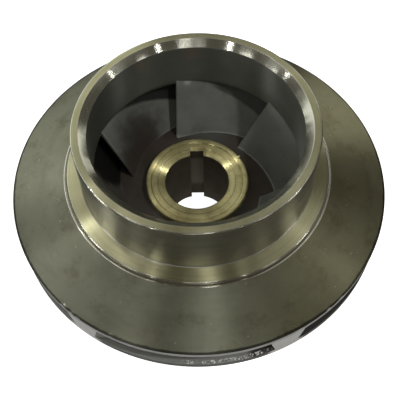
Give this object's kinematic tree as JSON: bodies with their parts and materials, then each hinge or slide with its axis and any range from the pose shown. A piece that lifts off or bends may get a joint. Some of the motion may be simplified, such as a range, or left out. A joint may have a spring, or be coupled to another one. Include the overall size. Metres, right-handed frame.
{
  "type": "pump impeller",
  "caption": "Closed single-suction centrifugal pump impeller: swept vanes between two shrouds, with a machined eye collar and a keyed hub bore.",
  "frame": {"origin": "centre of the hub's back end, on the shaft axis", "axes": "+Z along the shaft axis towards the suction eye, +Y through the middle of the keyway, +X to the right of them"},
  "size_m": [0.316, 0.316, 0.1498],
  "materials": {
    "machined": "turned bright, fine concentric tool marks, a little tarnish",
    "cast": "skimmed casting, dull greenish grey with faint turning marks and stains",
    "passage": "rough as-cast skin, dark grey"
  },
  "bodies": {
    "root": {"eye_collar": "machined", "front_shroud": "cast", "back_shroud": "cast", "hub": "machined", "vane_1": "passage", "vane_2": "passage", "vane_3": "passage", "vane_4": "passage", "vane_5": "passage", "vane_6": "passage"}
  },
  "joints": []
}
